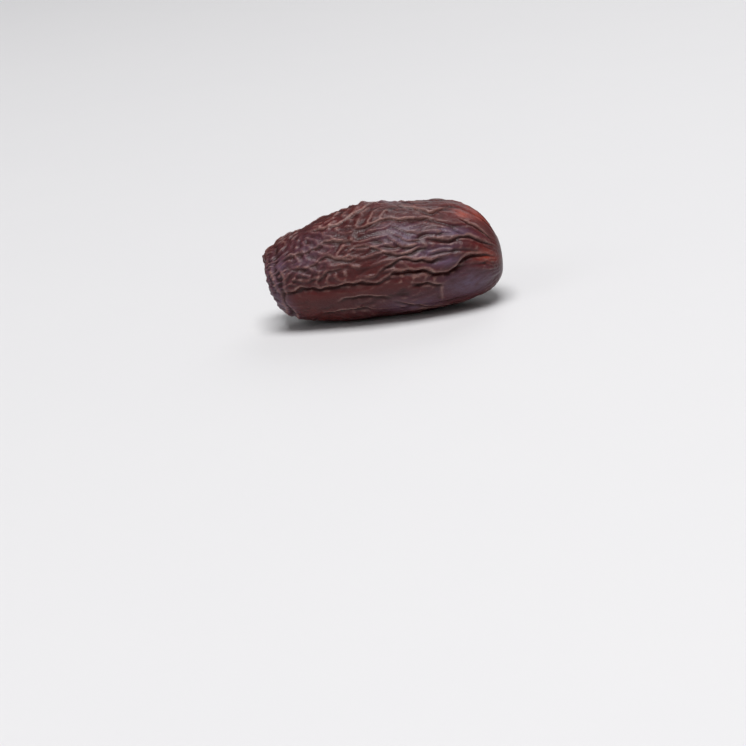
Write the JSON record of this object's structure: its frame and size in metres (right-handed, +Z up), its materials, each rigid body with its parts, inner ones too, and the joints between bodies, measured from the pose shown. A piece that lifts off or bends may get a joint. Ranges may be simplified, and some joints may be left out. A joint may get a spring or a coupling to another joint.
{
  "type": "medjool date",
  "caption": "A large dried date with deeply folded skin, a drawn-up stem scar and a blunt tip, lying on its side on a small flat spot.",
  "frame": {"origin": "on the surface that the date rests on, under the middle of its bounding box", "axes": "+X along the fruit from the stem end to the tip, -Y towards the front, +Z up"},
  "size_m": [0.0518, 0.027, 0.0249],
  "materials": {
    "date_skin": "semi-gloss waxy dried skin, dark maroon brown with a pale lavender bloom"
  },
  "bodies": {
    "root": {"date": "date_skin"}
  },
  "joints": []
}
